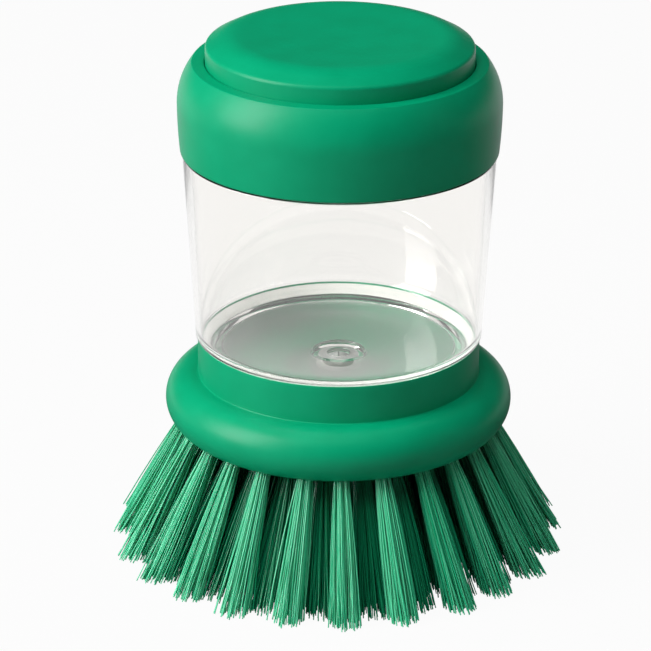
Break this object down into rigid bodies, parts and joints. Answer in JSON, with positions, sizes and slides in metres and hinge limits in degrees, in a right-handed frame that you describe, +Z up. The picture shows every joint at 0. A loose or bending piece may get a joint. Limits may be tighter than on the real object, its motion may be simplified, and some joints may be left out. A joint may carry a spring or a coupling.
{
  "type": "soap dispensing palm brush",
  "caption": "Round palm dish brush with a clear soap tank, a screw cap whose press button pumps soap to the splayed bristles.",
  "frame": {"origin": "centre of the circle of bristle tips, on the plane the brush stands on", "axes": "+Z up along the brush axis, from the bristle tips to the button; -Y is the side the picture shows"},
  "size_m": [0.0884, 0.0884, 0.1026],
  "materials": {
    "green_polypropylene": "satin moulded",
    "natural_polypropylene": "satin moulded",
    "clear_san": "clear polished",
    "silicone": "translucent matt",
    "bristle_monofilament": "fine drawn filament",
    "stainless_wire": "drawn wire"
  },
  "bodies": {
    "brush": {"brush_base": "green_polypropylene", "bristle_plate": "green_polypropylene", "container": "clear_san", "outlet_valve": "silicone", "valve_retainer": "natural_polypropylene", "base_seal": "silicone", "outer_tuft_01": "bristle_monofilament", "outer_tuft_02": "bristle_monofilament", "outer_tuft_03": "bristle_monofilament", "outer_tuft_04": "bristle_monofilament", "outer_tuft_05": "bristle_monofilament", "outer_tuft_06": "bristle_monofilament", "outer_tuft_07": "bristle_monofilament", "outer_tuft_08": "bristle_monofilament", "outer_tuft_09": "bristle_monofilament", "outer_tuft_10": "bristle_monofilament", "outer_tuft_11": "bristle_monofilament", "outer_tuft_12": "bristle_monofilament", "outer_tuft_13": "bristle_monofilament", "outer_tuft_14": "bristle_monofilament", "outer_tuft_15": "bristle_monofilament", "outer_tuft_16": "bristle_monofilament", "outer_tuft_17": "bristle_monofilament", "outer_tuft_18": "bristle_monofilament", "outer_tuft_19": "bristle_monofilament", "outer_tuft_20": "bristle_monofilament", "outer_tuft_21": "bristle_monofilament", "outer_tuft_22": "bristle_monofilament", "outer_tuft_23": "bristle_monofilament", "outer_tuft_24": "bristle_monofilament", "second_tufts": "bristle_monofilament", "third_tufts": "bristle_monofilament", "inner_tufts": "bristle_monofilament", "outer_anchors": "stainless_wire", "second_anchors": "stainless_wire", "third_anchors": "stainless_wire", "inner_anchors": "stainless_wire"},
    "gasket": {"rim_gasket": "silicone"},
    "cap": {"cap": "green_polypropylene", "pump_plate": "natural_polypropylene", "return_spring": "stainless_wire"},
    "button": {"press_button": "green_polypropylene", "piston_seal": "silicone"}
  },
  "joints": [
    {"name": "cap_lift", "type": "slide", "parent": "brush", "child": "gasket", "axis": [0, 0, 1], "range_m": [0, 0.012]},
    {"name": "cap_turn", "type": "hinge", "parent": "gasket", "child": "cap", "pos_m": [0, 0, 0.08], "axis": [0, 0, 1], "range_deg": [0, 720]},
    {"name": "button_press", "type": "slide", "parent": "cap", "child": "button", "axis": [0, 0, -1], "range_m": [0, 0.003], "stiffness_N_per_m": 600, "springref_m": -0.004, "deforming": ["return_spring"]}
  ],
  "couplings": [
    {"joint": "cap_turn", "follows": "cap_lift", "rad_per_m": 1047.2}
  ]
}
